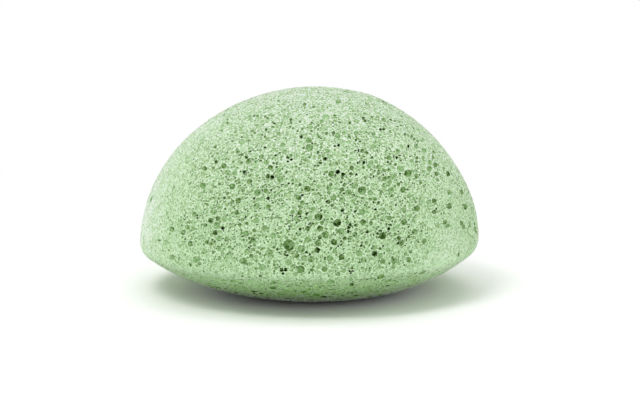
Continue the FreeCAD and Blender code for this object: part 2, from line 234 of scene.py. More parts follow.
    (389.3, 262.9, 2.2, 0.70), (404.6, 264.8, 1.8, 0.88), (249.4, 140.3, 2.4, 0.56),
    (266.2, 129.8, 2.6, 0.56), (267.7, 118.1, 2.2, 0.56), (290.9, 119.5, 2.6, 0.66),
    (291.0, 122.3, 2.2, 0.56), (281.4, 123.4, 2.4, 0.52), (235.4, 132.0, 2.6, 0.46),
    (236.9, 149.3, 2.4, 0.52), (215.2, 146.8, 2.8, 0.52), (212.4, 156.0, 2.6, 0.52),
    (217.2, 153.5, 2.6, 0.56), (232.9, 162.4, 2.4, 0.62), (241.2, 162.7, 2.4, 0.66),
    (254.5, 132.8, 2.2, 0.52), (265.0, 136.6, 2.4, 0.56), (297.5, 131.1, 2.3, 0.62),
    (292.9, 128.4, 2.4, 0.50), (249.6, 116.5, 2.4, 0.56), (254.1, 115.9, 2.2, 0.50),
    (257.6, 116.1, 2.2, 0.50), (227.4, 119.6, 2.2, 0.50), (304.6, 104.2, 2.6, 0.66),
    (304.8, 107.3, 2.0, 0.56), (313.7, 107.0, 2.4, 0.52), (321.4, 121.0, 3.0, 0.50),
    (334.3, 115.1, 2.6, 0.56), (318.0, 125.3, 2.6, 0.50), (350.1, 122.9, 2.8, 0.58),
    (363.2, 118.0, 2.6, 0.70), (365.1, 120.8, 2.6, 0.70), (372.0, 117.3, 2.4, 0.62),
    (364.5, 113.4, 2.4, 0.52), (380.2, 129.5, 2.4, 0.76), (391.0, 119.9, 2.6, 0.52),
    (394.9, 121.1, 2.4, 0.60), (400.5, 125.3, 2.2, 0.66), (397.5, 126.4, 2.2, 0.60),
    (390.2, 131.5, 2.6, 0.52), (326.2, 133.4, 2.2, 0.72), (333.1, 132.9, 2.8, 0.66),
    (311.6, 130.8, 2.4, 0.50), (300.0, 121.8, 2.4, 0.64), (302.0, 128.8, 2.4, 0.56),
    (349.4, 137.0, 2.6, 0.60), (318.2, 129.5, 2.2, 0.52), (327.6, 92.9, 2.2, 0.50),
    (318.1, 92.7, 2.0, 0.50),
)

# How much the skin faces the camera, as a cosine: the least where one of those cells can lie, and the least
# that a cell is made longer for
LEAST_SEEN = 0.05
LEAST_FACING = 0.5

# Small ones are specks towards the crown: the shares of the height and the widths over which a cell becomes
# one, and how much wider and darker that makes it
SPECK_HEIGHTS = (0.55, 0.85)
SPECK_WIDTHS_PX = (3.6, 2.8)
SPECK_WIDER_PX = 0.1
SPECK_DARKER = 0.13

# The cells that the solid has round the rest of the skin, as the part's source scatters them, in metres
SOLID_CELL_SEED = 11
SOLID_DOME_CELLS = 200
SOLID_BELLY_CELLS = 50
SOLID_LARGEST_BORE = 0.0024
SOLID_SMALLEST_BORE = 0.0011
SOLID_RARE_POWER = 3
GOLDEN_TURN = math.pi * (3 - math.sqrt(5))

# They lie where the skin faces the camera less than this, as a cosine; and how dark they are at least, and
# how much darker they can be
SOLID_MOST_FACING = 0.25
SOLID_DARK, SOLID_DARKER = 0.5, 0.45

# The finer cells, the larger ones first: (smallest mouth, largest mouth, how many places are tried, how
# often one on the dome is kept, how often one on the belly, and how often one on the dome's unseen side is
# as dark as a chosen one)
FINE_CELLS = (
    (0.00100, 0.00190, 3000, 0.0, 1.0, 0.00),
    (0.00100, 0.00130, 450, 1.0, 1.0, 0.40),
    (0.00080, 0.00100, 1800, 1.0, 0.6, 0.28),
    (0.00065, 0.00080, 6000, 1.0, 0.5, 0.12),
    (0.00052, 0.00065, 16000, 1.0, 0.4, 0.04),
    (0.00042, 0.00052, 50000, 1.0, 0.4, 0.00),
    (0.00034, 0.00042, 60000, 1.0, 0.4, 0.00),
    (0.00025, 0.00034, 80000, 1.0, 0.4, 0.00),
)
FINE_CELL_SEED = 5

# How dark a finer cell is at least and how much darker it can be, by a power of an even draw. A narrow one
# can be darker than the rest, and where the foam is bold a share of the narrow ones are pinholes.
FINE_DARK, FINE_DARKER = 0.15, 0.46
FINE_RARE_POWER = 1.8
NARROW_CELL = 0.0006
NARROW_DARKER = 0.80
PINHOLE_SHARE = 0.14
PINHOLE_BOLD = (0.55, 0.95)
PINHOLE_DARK = 0.90

# On the ridge the finer cells are paler, partly as finer foam and partly as the painted highlight along it.
# On the belly those wider than this are darker, and the rest paler.
RIDGE_PALER = 0.45
BELLY_WIDE_CELL = 0.0007
BELLY_DARKER, BELLY_RARE_POWER = 0.80, 1.5
BELLY_PALER = 0.1

# The unseen side, by how little the skin faces the camera, how bold the foam is where some of its cells are
# as dark as a chosen one, and how dark those are
UNSEEN_FACING = (0.30, 0.10)
UNSEEN_BOLD = (0.3, 0.7)
UNSEEN_DARK, UNSEEN_DARKER = 0.45, 0.5

# How bold the cells are, from 0 to 1, the waves that cross it, in radians per metre, and where the foam is
# coarser or closer than that: (turn in degrees, share of the height, spread in metres, change); the
# photographed side faces a turn of -90 degrees
EVEN_BOLDNESS = 0.74
BOLD_WAVES = 0.14
BOLD_WAVE_WAYS = np.array([[910, 420, -380], [-530, 690, 840], [360, -980, 610]])
# Those near a turn of -170 degrees, on the left flank, also pale the skin there, partly as painted haze
FOAM_PATCHES = (
    (-92, 0.34, 0.016, 0.26), (-64, 0.42, 0.014, 0.26), (-122, 0.42, 0.012, 0.18),
    (-60, 0.72, 0.010, 0.12), (-37, 0.24, 0.009, -0.42), (-170, 0.36, 0.016, -0.56),
    (-90, 1.00, 0.018, -0.24), (-130, 0.75, 0.012, 0.15), (-172, 0.80, 0.013, -0.28),
    (25, 0.55, 0.012, 0.22), (60, 0.30, 0.014, 0.26), (100, 0.50, 0.015, 0.24), (142, 0.32, 0.012, 0.20),
    (5, 0.22, 0.009, -0.25), (85, 0.85, 0.011, -0.20), (118, 0.16, 0.009, -0.20), (40, 0.12, 0.008, -0.20),
)

# The wall between two cells at its crest, the most that a cell spreads past its mouth, and how wide and
# high its pale lip is, in metres; the shares of the wall that are drawn; and how dark a cell with a lip is
CELL_WALL = 0.00011
CELL_SPREAD = 0.00007
LIP_WIDTH = 0.00022
LIP_HEIGHT = 0.00004
WALL_SEED = 8
THIN_WALL, THICK_WALL = 0.2, 0.9
LIP_DARK = (0.1, 0.6)

# How much longer than wide a cell can be, and the angle from the bottom of its hollow to its mouth, in
# degrees: the palest cell's, and how much more the darkest has
MOST_STRETCH = 0.7
PALE_OPENING, DARKER_OPENING = 40, 65

# How far waves move the cells' edges, in metres, their ways, in radians per metre, and how much finer the
# second set of them is and where it starts
WAVER = 0.00006
WAVER_WAYS = np.array([[5300, 2100, 3700], [-2900, 6100, 1900], [3300, -3900, 5700]])
FINER_WAVER, FINER_WAVER_START = 1.9, 1.0

# Half the lengths between which cells are looked up together, so that small ones aren't tried far off
MM_PER_METRE = 1000
LOOKUP_SIZES_MM = (math.inf, 0.9, 0.6, 0.45, 0.36, 0.28, 0)
LOOKUP_MARGIN = 3 * CELL_SPREAD

# The windows in a cell's wall: how large, as half a mouth in metres, and how dark a cell with windows is,
# how often it has each of them, where they lie and how large they are in shares of half the mouth, how much
# larger in the darkest cells, and how deep
WINDOW_SEED = 7
WINDOW_CELL = 0.00031
WINDOW_CELL_DARK = 0.3
WINDOW_CHANCES = (0.95, 0.8, 0.6, 0.4)
WINDOW_PLACES = (0.30, 0.80)
WINDOW_SIZES = (0.24, 0.42)
WINDOW_LARGER, WINDOW_LARGER_DARK = 0.3, (0.6, 0.95)
WINDOW_DEPTH = 0.5

# The border round each face of the lattice on the map for baking, in shares of the face
MAP_BORDER = 0.004

# A direction that the ways on the skin are counted from, and the least length and share to divide by
COUNTED_FROM = (0.31, 0.47, 0.83)
LEAST_LENGTH = 1e-9
LEAST_SHARE = 1e-6

# The most cubes in a row that pairs_within can tell apart
CUBES_IN_ROW = 4096

# The foam's colours on a screen: stops of the skin's, and of the hollows', which run from pale to near
# black as painted shade in the cells; what the walls' crests turn to, partly pale walls and partly painted
# glints; the painted haze towards the crown and on the left flank; and the painted highlight on the ridge
SKIN_STOPS = ((0.35, (171, 208, 158)), (0.65, (197, 229, 188)))
HOLLOW_SHADE_STOPS = (
    (0.00, (200, 230, 189)),
    (0.12, (177, 212, 161)),
    (0.32, (153, 191, 131)),
    (0.58, (122, 161, 91)),
    (0.80, (84, 119, 53)),
    (1.00, (15, 43, 1)),
)
PALE_CREST_AND_GLINT = (212, 237, 199)
PALE_AND_HAZE_SKIN = (246, 246, 245)
RIDGE_HIGHLIGHT_SKIN = (212, 248, 198)

# What the colours are multiplied by for the painted shade on the belly, darker and greener, and for the
# deeper painted shade low down by the foot
BELLY_SHADE_TINT = (0.68, 1.16, 0.22, 1)
FOOT_SHADE_TINT = (0.60, 0.63, 0.50, 1)

# The patches of the skin and the froth on it, in metres: each size of froth is a width, the depth of its
# deepest cell, which also darkens the colour as painted shade, and the power of the draw. Then where a cell
# of it ends and its crest begins, pale partly as foam walls and partly as painted glints, how much of it is
# left on the belly and on the ridge, and how deep and strong it looks.
PATCH_WIDTH = 0.0010
WIDE_FROTH = (0.00065, 0.20, 1.4)
FINE_FROTH = (0.00042, 1.2, 1.8)
FROTH_EDGE, FROTH_CREST_AND_GLINT = (0.50, 0.38), (0.46, 0.68)
FROTH_ON_BELLY, FROTH_ON_RIDGE = 0.85, 0.55
FROTH_DEPTH, FROTH_STRENGTH = 0.0002, 0.5

# The wall of a hollow, its darkness painted shade: the millimetres inside its edge over which the hollow
# begins and its wall pales, how dark the steep wall is at the edge, and in the middle of cells that are so
# dark; its grain; and its windows, near black with painted shade
HOLLOW_EDGE_MM, WALL_EDGE_MM = (-0.015, 0.03), (0.20, 0.04)
EDGE_SHADE = 1.06
MIDDLE_DARK, MIDDLE_SHADE = (0.4, 0.75), (0.40, 0.65)
DEEPEST_DARK, DEEPEST_SHADE = (0.82, 0.96), (0.0, 0.30)
GRAIN_WIDTH = 0.0010
GRAIN_RANGE, GRAIN_SHADE = (0.40, 0.60), (0.62, 1.28)
WINDOW_EDGE = (0.0, 0.35)
WINDOW_DARK, WINDOW_SHADE = (0.5, 0.92), (0.10, 1.0)

# How pale the lips are, partly as painted glints; the skin where the foam is close, pale partly with
# painted haze; the painted haze towards the crown and the painted highlight on the ridge; and the shade
# from which the colour is a hollow's
LIP_PALE_AND_GLINT, LIP_FULL = (0.4, 1.0), (0.0, 1.25)
CLOSER_AND_HAZE_BOLD, CLOSER_AND_HAZE_PALE = (0.72, 0.20), (0.0, 0.80)
CROWN_HAZE_HEIGHTS, CROWN_HAZE_PALE = (0.4 * HEIGHT, HEIGHT), (0.0, 0.9)
RIDGE_HIGHLIGHT_PALE = (0.0, 0.85)
HOLLOW_SHADES = (0.0, 0.12)

# The belly's painted shade and, lower down, the deeper painted shade by the foot, each stronger in the
# streaks
STREAK_WIDTH = 0.0022
STREAK_RANGE = (0.36, 0.64)
BELLY_SHADE_BELOW, BELLY_SHADE_STREAKS = (0.30, 1.0), (0.38, 0.82)
FOOT_SHADE_BELOW, FOOT_SHADE_STREAKS = (0.62, 1.0), (0.2, 1.0)

# What the foam's shader has all over, and the two ends of a share
FOAM_FINISH = {"Roughness": 0.8, "Specular IOR Level": 0.03, "Sheen Weight": 0.9, "Sheen Roughness": 0.24}
WHOLE = (0.0, 1.0)

# The floor, in metres from the sponge's axis: how far it goes, where its grey for bounced light rises and
# between which values, how white it is to the camera, and where it turns to plain white
FLOOR_HALF = 3.0
FLOOR_RISES, FLOOR_GREYS = (0.026, 0.052), (0.08, 0.96)
FLOOR_WHITE = 1.15
FLOOR_FADES = (0.06, 0.20)

# The light: the room's own, and lamps, each a name, a place, a width and a power in watts
WHITE = (1, 1, 1, 1)
ROOM_LIGHT = 0.36
LAMPS = (
    ("upper_left", (-0.25, -0.35, 0.65), 0.3, 1.66),
    ("top", (0.05, 0.20, 0.80), 0.7, 1.66),
    ("left_edge", (-0.70, 0.35, 0.20), 0.4, 1.9),
    ("right_edge", (0.75, 0.15, 0.25), 0.4, 1.4),
    ("front", (0.15, -0.80, 0.28), 0.4, 1.75),
)


def srgb(red, green, blue):
    """A colour seen on a screen, from 0 to 255, as the linear values that a shader takes."""
    seen = np.array((red, green, blue)) / 255
    linear = np.where(seen <= 0.04045, seen / 12.92, ((seen + 0.055) / 1.055) ** 2.4)
    return (*(float(value) for value in linear), 1.0)


def smooth(low, high, value):
    """0 at low, 1 at high and beyond, and a smooth S curve between; low may be the larger one."""
    share = np.clip((value - low) / (high - low), 0, 1)
    return share * share * (3 - 2 * share)


def unit(vectors):
    """The same directions at length 1."""
    return vectors / np.linalg.norm(vectors, axis=-1, keepdims=True)


def profile_table(samples=4000):
    """The turned profile from the crown to the middle of the foot: (out, up, lean, along) at many points.

    Each arc is centre + radius * (cos lean, sin lean), where lean is the upward lean of the skin's normal:
    the crown is centred on the axis, the shoulder and the rim at the widest height, and the belly above the
    foot's edge, where it is level; each touches the next. along is the angle from the pole of a ball on
    which equal areas stand for equal areas of the skin, with the underside weighed down.
    """
    rise = HEIGHT - WIDEST_HEIGHT
    level, steep = math.cos(SHOULDER_LEAN), math.sin(SHOULDER_LEAN)
    crown = (RIM_RADIUS * steep - rise * (1 - level)) / (steep + level - 1)
    shoulder = (RIM_RADIUS - crown * level) / (1 - level)
    reach = RIM_RADIUS - RIM_ROUND - FOOT_RADIUS
    belly = (reach**2 + WIDEST_HEIGHT**2 - RIM_ROUND**2) / 2 / (WIDEST_HEIGHT - RIM_ROUND)
    belly_end = math.atan2(WIDEST_HEIGHT - belly, reach)
    arcs = (
        (0, HEIGHT - crown, crown, math.pi / 2, SHOULDER_LEAN),
        (RIM_RADIUS - shoulder, WIDEST_HEIGHT, shoulder, SHOULDER_LEAN, 0),
        (RIM_RADIUS - RIM_ROUND, WIDEST_HEIGHT, RIM_ROUND, 0, belly_end),
        (FOOT_RADIUS, belly, belly, belly_end, -math.pi / 2),
    )
    out, up, lean = [], [], []
    for centre_out, centre_up, radius, start, end in arcs:
        leans = np.linspace(start, end, samples)
        out.append(centre_out + radius * np.cos(leans))
        up.append(centre_up + radius * np.sin(leans))
        lean.append(leans)
    foot = np.linspace(FOOT_RADIUS, 0, samples)
    out, up = np.concatenate([*out, foot]), np.concatenate([*up, 0 * foot])
    lean = np.concatenate([*lean, np.full(samples, -math.pi / 2)])
    weight = BELLY_WEIGHT + (1 - BELLY_WEIGHT) * smooth(*BELLY_WEIGHT_LEANS, lean)
    step = np.hypot(np.diff(out), np.diff(up)) * (out[1:] + out[:-1]) * (weight[1:] + weight[:-1])
    covered = np.concatenate([[0], np.cumsum(step)])
    return out, up, lean, np.arccos(np.clip(1 - 2 * covered / covered[-1], -1, 1))


PROFILE = profile_table()


def settled(points):
    """The turned form as it lies: the crown leans to the right with the square of the height, the rim is
    tilted with the distance across, the left flank is pushed in and the right shoulder raised by bell
    curves, the belly hangs with the cosine of the turn, and long waves round and up the skin make it
    slightly lumpy, fading to nothing at the foot."""
    across, deep, up = points.T
    rise = up / HEIGHT
    turn = np.arctan2(deep, across)
    moved = points.copy()
    moved[:, 0] += CROWN_LEAN * rise**2
    flank = np.exp(-(((rise - FLANK_MIDDLE) / FLANK_SPREAD) ** 2))
    moved[:, 0] += FLANK_FLAT * smooth(0, 1, -np.cos(turn)) * flank
    tilt = RIM_TILT * across / RIM_RADIUS
    moved[:, 2] += tilt * smooth(*TILT_GROWS, rise) * (1 - smooth(*TILT_FADES, rise))
    wave = sum(np.sin(rounds * turn + climb * rise + start) for rounds, climb, start in LUMP_WAVES)
    swell = LUMP_HEIGHT * wave * smooth(*LUMPS_GROW, rise) * (1 - smooth(*LUMPS_FADE, rise))
    out = np.hypot(across, deep)
    moved[:, :2] += swell[:, None] * points[:, :2] / (out[:, None] + LEAST_LENGTH)
    hang = smooth(*HANG_GROWS, out / RIM_RADIUS) * (1 - smooth(*HANG_FADES, rise))
    moved[:, 2] -= BELLY_HANG * np.cos(turn) * hang
    from_bump = np.hypot(across - SHOULDER_BUMP_ACROSS, deep) / SHOULDER_BUMP_WIDTH
    moved[:, 2] += SHOULDER_BUMP * np.exp(-(from_bump**2)) * smooth(*BUMP_GROWS, rise)
    return moved


def leaning_at(along):
    """The upward lean of the skin's normal, at an angle along the profile's table."""
    return np.interp(along, PROFILE[3], PROFILE[2])


def on_skin(along, turn):
    """(points, normals) of the settled skin, at an angle along the profile's table and a turn round the
    axis. The normals are those of the turned form."""
    out, up, _, table = PROFILE
    distance = np.interp(along, table, out)
    height = np.interp(along, table, up)
    leaning = leaning_at(along)
    points = np.stack([distance * np.cos(turn), distance * np.sin(turn), height], axis=-1)
    level = np.cos(leaning)
    normals = np.stack([level * np.cos(turn), level * np.sin(turn), np.sin(leaning)], axis=-1)
    return settled(points), normals


def ball_lattice(steps):
    """(directions, quads, corners) of a closed ball of squares: a grid of steps by steps on each cube face.

    A point's place on a face goes through a tangent, so that the squares are near to equal, and then to
    length 1. Points on the cube's edges are shared. corners holds each quad corner's place on its own face,
    from 0 to 1, and the face's number.
    """
    first, second = np.meshgrid(np.arange(steps + 1), np.arange(steps + 1), indexing="ij")
    places, quads, corners = [], [], []
    square = np.array([[0, 0], [1, 0], [1, 1], [0, 1]])
    low = np.stack(np.meshgrid(np.arange(steps), np.arange(steps), indexing="ij"), axis=-1)
    cells = low.reshape(-1, 1, 2) + square
    for face in range(6):
        axis, far = face % 3, face < 3
        grid = np.empty((steps + 1, steps + 1, 3), int)
        grid[..., axis] = steps if far else 0
        grid[..., (axis + 1) % 3] = first if far else second
        grid[..., (axis + 2) % 3] = second if far else first
        places.append(grid.reshape(-1, 3))
        quads.append(face * (steps + 1) ** 2 + cells[..., 0] * (steps + 1) + cells[..., 1])
        corners.append(np.concatenate([cells / steps, np.full((*cells.shape[:2], 1), face)], axis=-1))
    places = np.concatenate(places)
    key = (places[:, 0] * (steps + 1) + places[:, 1]) * (steps + 1) + places[:, 2]
    _, kept, shared = np.unique(key, return_index=True, return_inverse=True)
    directions = unit(np.tan((places[kept] / steps - 0.5) * math.pi / 2))
    return directions, shared.reshape(-1)[np.concatenate(quads)], np.concatenate(corners)


def pairs_within(points, centres, reach):
    """(point numbers, centre numbers) of every pair that lies within reach.

    Both are sorted into cubes as wide as reach, and each centre is tried against the points of its own cube
    and of the 26 cubes round it.
    """
    low = np.minimum(points.min(0), centres.min(0)) - 2 * reach
    strides = np.array([1, CUBES_IN_ROW, CUBES_IN_ROW**2])
    keys = np.floor((points - low) / reach).astype(np.int64) @ strides
    order = np.argsort(keys, kind="stable")
    keys = keys[order]
    home = np.floor((centres - low) / reach).astype(np.int64)
    found_points, found_centres = [], []
    for step in np.ndindex(3, 3, 3):
        near = (home + np.array(step) - 1) @ strides
        first = np.searchsorted(keys, near, "left")
        count = np.searchsorted(keys, near, "right") - first
        which = np.repeat(np.arange(len(centres)), count)
        place = np.arange(count.sum()) - np.repeat(np.cumsum(count) - count, count) + np.repeat(first, count)
        point = order[place]
        close = np.linalg.norm(points[point] - centres[which], axis=1) < reach
        found_points.append(point[close])
        found_centres.append(which[close])
    return np.concatenate(found_points), np.concatenate(found_centres)


def photo_pixels(points):
    """Where points lie in the photograph, in pixels: a plain perspective from the camera's stand."""
    level, steep = math.cos(CAMERA_RISE), math.sin(CAMERA_RISE)
    up = points[:, 2] - HEIGHT / 2
    away = CAMERA_DISTANCE + points[:, 1] * level - up * steep
    scale = PX_PER_METRE * CAMERA_DISTANCE / away
    across_px = SPONGE_MIDDLE_PX[0] + scale * points[:, 0]
    down_px = SPONGE_MIDDLE_PX[1] - scale * (up * level + points[:, 1] * steep)
    return np.stack([across_px, down_px], axis=-1)


class Cells:
    """A growing list of open cells: the middle of each mouth, its normal, half its width, its darkness, how
    many times longer than wide it is, and the way on the skin that it is longer along."""

    def __init__(self):
        self.middle = np.empty((0, 3))
        self.normal = np.empty((0, 3))
        self.mouth = np.empty(0)
        self.dark = np.empty(0)
        self.stretch = np.empty(0)
        self.way = np.empty((0, 3))

    def join(self, **new):
        """Adds cells as they are."""
        for name, values in new.items():
            setattr(self, name, np.concatenate([getattr(self, name), values]))

    def add(self, **new):
        """Adds the cells that keep a wall's thickness from those here and from each other, the first ones
        first."""
        middle, mouth = new["middle"], new["mouth"]
        clear = np.ones(len(mouth), bool)
        if len(self.mouth):
            fresh, old = pairs_within(middle, self.middle, self.mouth.max() + mouth.max() + CELL_WALL)
            gap = np.linalg.norm(middle[fresh] - self.middle[old], axis=1) - mouth[fresh] - self.mouth[old]
            clear[fresh[gap < CELL_WALL]] = False
        one, other = pairs_within(middle, middle, 2 * mouth.max() + CELL_WALL)
        gap = np.linalg.norm(middle[one] - middle[other], axis=1) - mouth[one] - mouth[other]
        clash = (gap < CELL_WALL) & (one < other)
        one, other = one[clash], other[clash]
        waiting = clear
        kept = np.zeros(len(mouth), bool)
        while waiting.any():
            both = waiting[one] & waiting[other]
            behind = np.zeros(len(mouth), bool)
            behind[other[both]] = True
            chosen = waiting & ~behind
            kept |= chosen
            waiting = waiting & ~chosen
            waiting[other[chosen[one]]] = False
        self.join(**{name: values[kept] for name, values in new.items()})


def tangents(normals, spin):
    """Ways on the skin at an angle spin from a fixed one: the cosine of it one way and its sine square to
    that."""
    side = unit(np.cross(normals, COUNTED_FROM))
    return np.cos(spin)[:, None] * side + np.sin(spin)[:, None] * np.cross(normals, side)


def boldness(points):
    """How bold the cells are at points: an even level with the patches' changes added, each of which fades
    with the square of the distance as a bell curve does, and waves some millimetres long that cross each
    other."""
    turn, height, spread, change = np.array(FOAM_PATCHES).T
    out, up, lean, _ = PROFILE
    dome = lean >= 0
    distance = np.interp(height * HEIGHT, up[dome][::-1], out[dome][::-1])
    turn = np.radians(turn)
    centres = np.stack([distance * np.cos(turn), distance * np.sin(turn), height * HEIGHT], axis=-1)
    away = np.linalg.norm(points[:, None] - centres, axis=-1)
    patches = (change * np.exp(-((away / spread) ** 2))).sum(axis=1)
    uneven = np.sin(points @ BOLD_WAVE_WAYS + np.sin(points @ BOLD_WAVE_WAYS[::-1])).mean(axis=1)
    return np.clip(EVEN_BOLDNESS + BOLD_WAVES * uneven + patches, 0, 1)


def ridge(leaning):
    """How near the skin is to the ridge that runs round the rim, from 0 to 1: a bell curve over its lean."""
    return np.exp(-(((leaning - RIDGE_LEAN) / RIDGE_SPREAD) ** 2))


def underside(leaning):
    """0 on the dome and 1 on the belly, with an S curve over the lean between."""
    return smooth(*UNDERSIDE_LEANS, leaning)


def photographed_cells(cells, points, normals):
    """Adds the listed cells, each at the point of the camera's side that lies nearest to its pixel.
    On the dome a cell is as much longer, towards the camera, as the slant of the skin there shortens it, and
    a small one towards the crown is a darker speck."""
    chosen = np.array(PHOTO_CELLS_PX)
    chosen = chosen[np.argsort(-chosen[:, 2], kind="stable")]
    width_px, dark = chosen[:, 2], chosen[:, 3]
    pixels = photo_pixels(points)
    facing = normals @ TO_CAMERA
    seen = np.flatnonzero(facing > LEAST_SEEN)
    place = np.array([seen[np.argmin(((pixels[seen] - pixel) ** 2).sum(1))] for pixel in chosen[:, :2]])
    facing, normal = facing[place], normals[place]
    stretch = np.where(normal[:, 2] > 0, 1 / np.maximum(facing, LEAST_FACING), 1)
    speck = smooth(*SPECK_HEIGHTS, points[place, 2] / HEIGHT) * smooth(*SPECK_WIDTHS_PX, width_px)
    cells.join(
        middle=points[place],
        normal=normal,
        mouth=(width_px + SPECK_WIDER_PX * speck) / 2 / PX_PER_METRE * np.sqrt(stretch),
        dark=np.minimum(dark + SPECK_DARKER * speck, 1),
        stretch=stretch,
        way=unit(TO_CAMERA - facing[:, None] * normal),
    )


def solid_cells(cells):
    """Adds the cells that the solid has, by the same draws: round by the golden angle, each moved by a draw,
    with a power of an even draw for the bore. The camera's side has the listed cells instead."""
    draw = random.Random(SOLID_CELL_SEED).random
    out, _, lean, along = PROFILE
    belly = np.flatnonzero((lean < BELLY_CELLS_LEAN) & (out > FOOT_RADIUS))
    edge = out[belly[0]]
    bores = SOLID_LARGEST_BORE - SOLID_SMALLEST_BORE
    found = []
    for count, on_dome in ((SOLID_DOME_CELLS, True), (SOLID_BELLY_CELLS, False)):
        for number in range(count):
            turn = number * GOLDEN_TURN + draw()
            share = (number + draw()) / count
            bore = SOLID_SMALLEST_BORE + draw() ** SOLID_RARE_POWER * bores
            if on_dome:
                angle = np.interp(-math.asin(share), -lean, along)
            else:
                distance = math.sqrt(FOOT_RADIUS**2 + share * (edge**2 - FOOT_RADIUS**2))
                angle = np.interp(-distance, -out[belly], along[belly])
            found.append((angle, turn, bore / 2))
    angle, turn, mouth = np.array(found).T
    points, normals = on_skin(angle, turn)
    unseen = normals @ TO_CAMERA < SOLID_MOST_FACING
    points, normals, mouth = points[unseen], normals[unseen], mouth[unseen]
    drawn, stretched, spin = np.random.default_rng(SOLID_CELL_SEED).random((3, len(mouth)))
    cells.add(
        middle=points,
        normal=normals,
        mouth=mouth,
        dark=(SOLID_DARK + SOLID_DARKER * drawn) * boldness(points) ** 0.5,
        stretch=1 + MOST_STRETCH * stretched**2,
        way=tangents(normals, 2 * math.pi * spin),
    )


def fine_cells(cells):
    """Adds the finer cells at random places, the larger ones first, each kept by a draw.

    A cell's darkness is a power of an even draw, times the boldness. Most are pale dimples and a few are
    deep: the wider ones of the belly, some on the dome's unseen side, and pinholes among the narrow ones.
    """
    rng = np.random.default_rng(FINE_CELL_SEED)
    for smallest, largest, tries, on_dome, on_belly, unseen_dark in FINE_CELLS:
        place, turn, size, drawn, rare, stretched, spin, stay = rng.random((8, tries))
        along = np.arccos(1 - 2 * place)
        leaning = leaning_at(along)
        kept = np.flatnonzero(stay < on_dome + (on_belly - on_dome) * underside(leaning))
        along, leaning, drawn = along[kept], leaning[kept], drawn[kept]
        points, normals = on_skin(along, 2 * math.pi * turn[kept])
        below = underside(leaning)
        bold = boldness(points) * (1 - RIDGE_PALER * ridge(leaning))
        narrow = largest < NARROW_CELL
        darker = NARROW_DARKER if narrow else FINE_DARKER
        dark = (FINE_DARK + darker * drawn**FINE_RARE_POWER) * bold
        if largest > BELLY_WIDE_CELL:
            dark = dark + below * (BELLY_DARKER * drawn**BELLY_RARE_POWER)
        else:
            dark = dark - below * (BELLY_PALER * dark)
        unseen = smooth(*UNSEEN_FACING, normals @ TO_CAMERA) * smooth(*UNSEEN_BOLD, bold) * (1 - below)
        dark = np.where(rare[kept] < unseen_dark * unseen, UNSEEN_DARK + UNSEEN_DARKER * drawn, dark)
        if narrow:
            dark[rare[kept] < PINHOLE_SHARE * smooth(*PINHOLE_BOLD, bold)] = PINHOLE_DARK
        cells.add(
            middle=points,
            normal=normals,
            mouth=(smallest + (largest - smallest) * size[kept]) / 2,
            dark=np.minimum(dark, 1),
            stretch=1 + MOST_STRETCH * stretched[kept] ** 2,
            way=tangents(normals, 2 * math.pi * spin[kept]),
        )


def wavered(points):
    """Points moved by two sets of crossing waves, by up to about an eighth of a millimetre along each axis,
    so that the cells' edges are uneven."""
    finer = points @ WAVER_WAYS.T[::-1] * FINER_WAVER + FINER_WAVER_START
    return points + WAVER * (np.sin(points @ WAVER_WAYS) + np.sin(finer))


def owners(points, cells):
    """(owner, away, edge): the cell that each point falls to, how far the point is from the middle of the
    cell's mouth, and how far inside the cell's edge it lies, or outside it where that is less than 0.

    A point falls to the cell whose mouth it is nearest to. Distances from a stretched cell are shorter along
    it and longer across it, by the root of its stretch. The edge lies some of a wall's thickness, drawn for
    each cell, short of the line where another mouth is as near, and no further out than the cell spreads.
    """
    found = []
    longest = cells.mouth * np.sqrt(cells.stretch)
    sizes = np.array(LOOKUP_SIZES_MM) / MM_PER_METRE
    for widest, narrowest in zip(sizes[:-1], sizes[1:]):
        size = np.flatnonzero((longest <= widest) & (longest > narrowest))
        if len(size):
            point, which = pairs_within(points, cells.middle[size], longest[size].max() + LOOKUP_MARGIN)
            found.append((point, size[which]))
    point, which = (np.concatenate(part) for part in zip(*found))
    offset = points[point] - cells.middle[which]
    lengthwise = (offset * cells.way[which]).sum(1)
    stretch = cells.stretch[which]
    away = np.sqrt(stretch * (offset**2).sum(1) - (stretch - 1 / stretch) * lengthwise**2)
    past = away - cells.mouth[which]
    first = np.full(len(points), np.inf)
    np.minimum.at(first, point, past)
    best = past == first[point]
    owner = np.full(len(points), -1)
    owner[point[best]] = which[best]
    distance = np.full(len(points), np.inf)
    distance[point[best]] = away[best]
    second = np.full(len(points), np.inf)
    np.minimum.at(second, point[~best], past[~best])
    thin = np.random.default_rng(WALL_SEED).uniform(THIN_WALL, THICK_WALL, len(cells.mouth))
    with np.errstate(invalid="ignore"):
        edge = np.minimum((second - first) / 2 - CELL_WALL * thin[owner], CELL_SPREAD - first)
    edge[owner < 0] = -LIP_WIDTH
    return owner, distance, edge


def windows(cells, cell, right, ahead):
    """How far inside a window each point of a cell's wall lies, from 1 in its middle through 0 at its edge
    to -1: 1 less the square of the distance in shares of the window. A larger cell has up to four windows
    into the cells behind it, round holes at drawn places of its mouth."""
    rng = np.random.default_rng(WINDOW_SEED)
    count = len(cells.mouth)
    inside = np.full(len(cell), -1.0)
    large = (cells.mouth > WINDOW_CELL) & (cells.dark > WINDOW_CELL_DARK)
    for chance in WINDOW_CHANCES:
        there = large & (rng.random(count) < chance)
        turn = 2 * math.pi * rng.random(count)
        offset = rng.uniform(*WINDOW_PLACES, count)
        size = rng.uniform(*WINDOW_SIZES, count)
        size = size * (1 + WINDOW_LARGER * smooth(*WINDOW_LARGER_DARK, cells.dark))
        away = np.hypot(right - (offset * np.cos(turn))[cell], ahead - (offset * np.sin(turn))[cell])
        share = np.maximum(1 - (away / size[cell]) ** 2, -1)
        inside = np.maximum(inside, np.where(there[cell], share, -1))
    return inside


